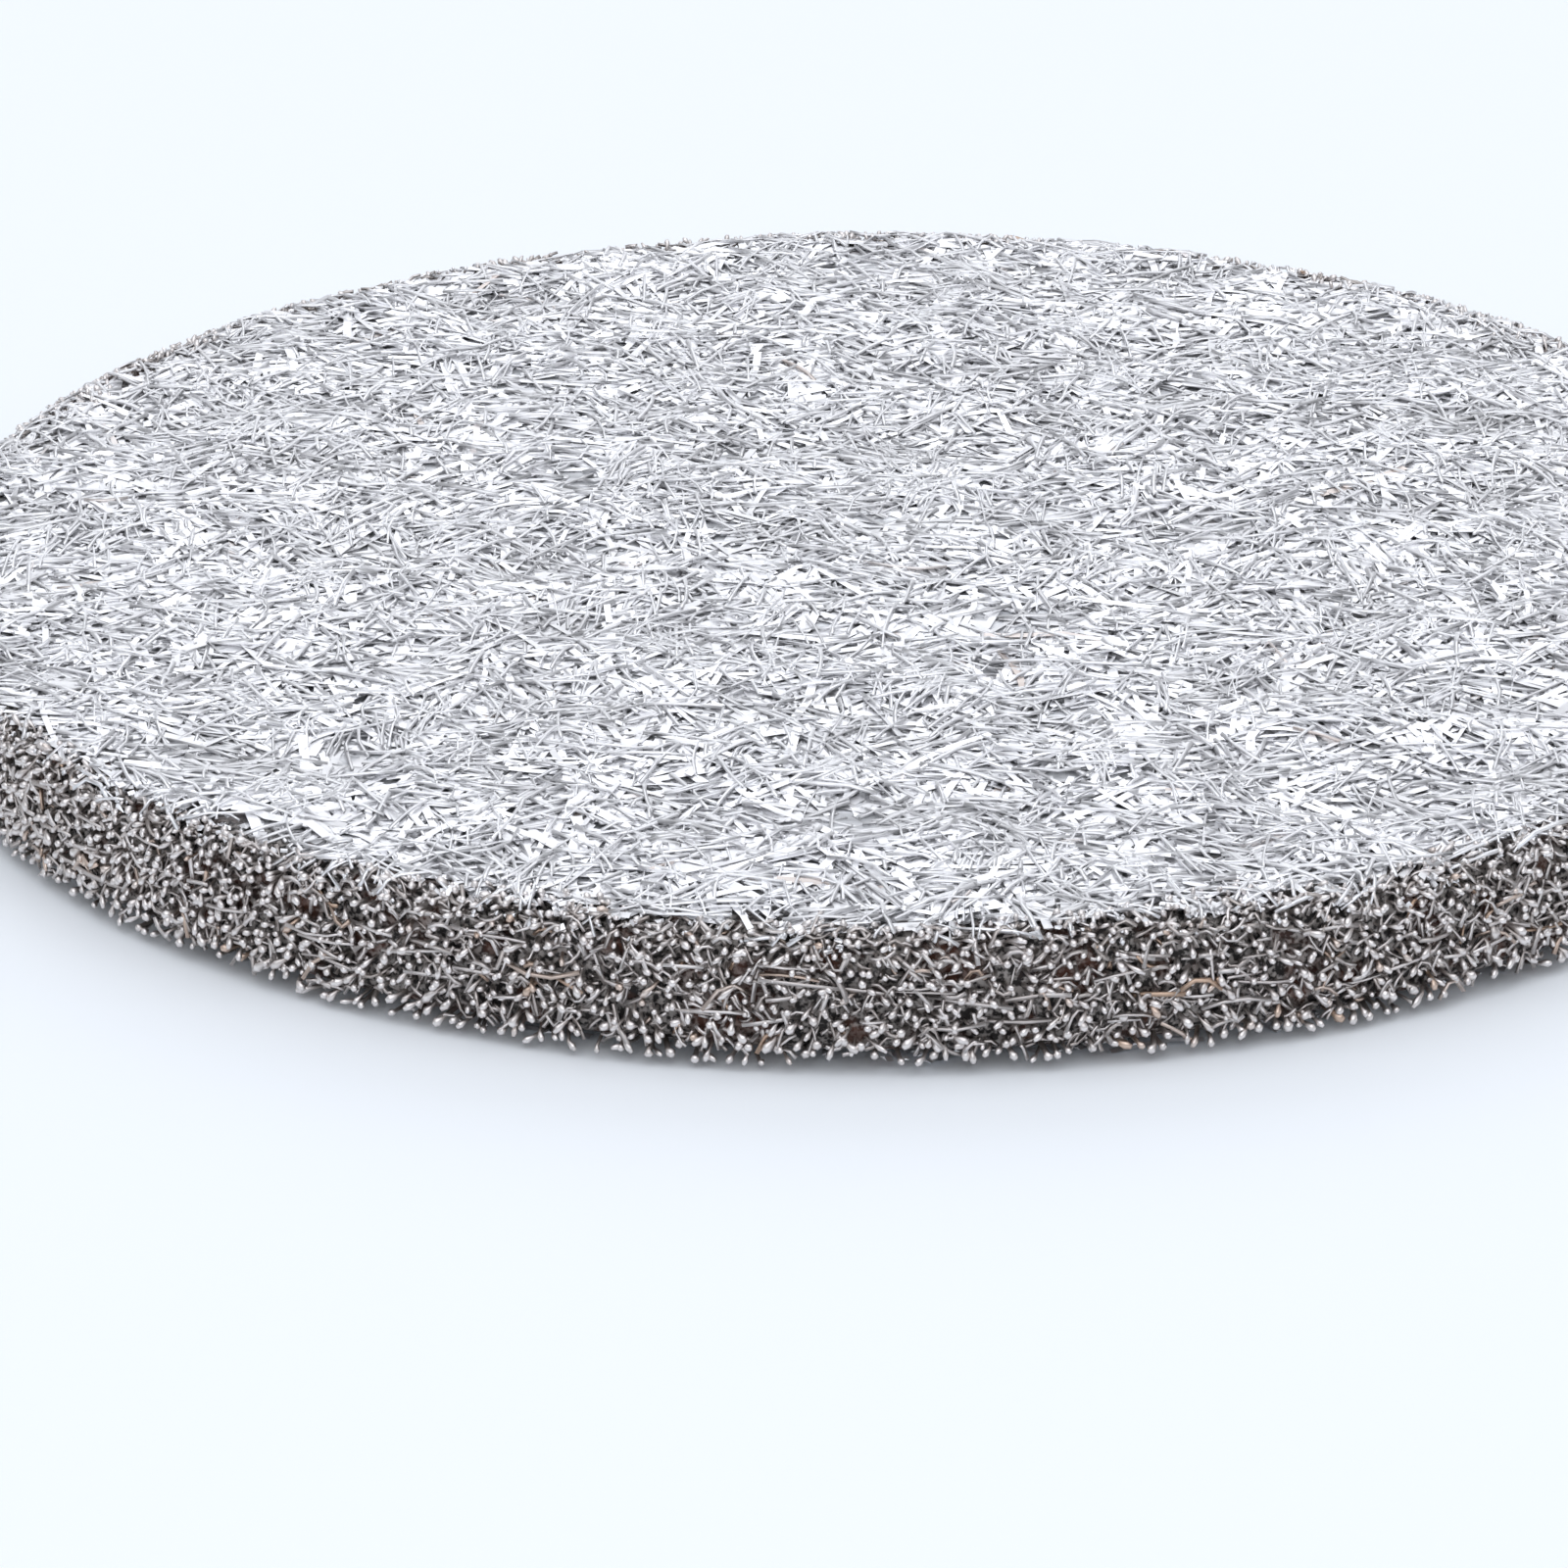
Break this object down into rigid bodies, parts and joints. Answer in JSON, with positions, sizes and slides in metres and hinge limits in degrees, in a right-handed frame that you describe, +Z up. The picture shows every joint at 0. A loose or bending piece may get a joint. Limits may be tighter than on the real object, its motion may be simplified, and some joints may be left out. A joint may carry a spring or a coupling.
{
  "type": "burner mesh screen",
  "caption": "Round flat disc of sintered metal fibre felt for a burner, with layered fibres on both faces, cut fibre ends on its rim and a rolled upper edge.",
  "frame": {"origin": "middle of the underside", "axes": "+Z up through the thickness, from the burred lower face to the rolled upper face"},
  "size_m": [0.04, 0.04, 0.003],
  "materials": {
    "metal_fibre": "bright sintered iron-chromium-aluminium fibre, light silver grey with dark pores"
  },
  "bodies": {
    "root": {"fibre_disc": "metal_fibre"}
  },
  "joints": []
}
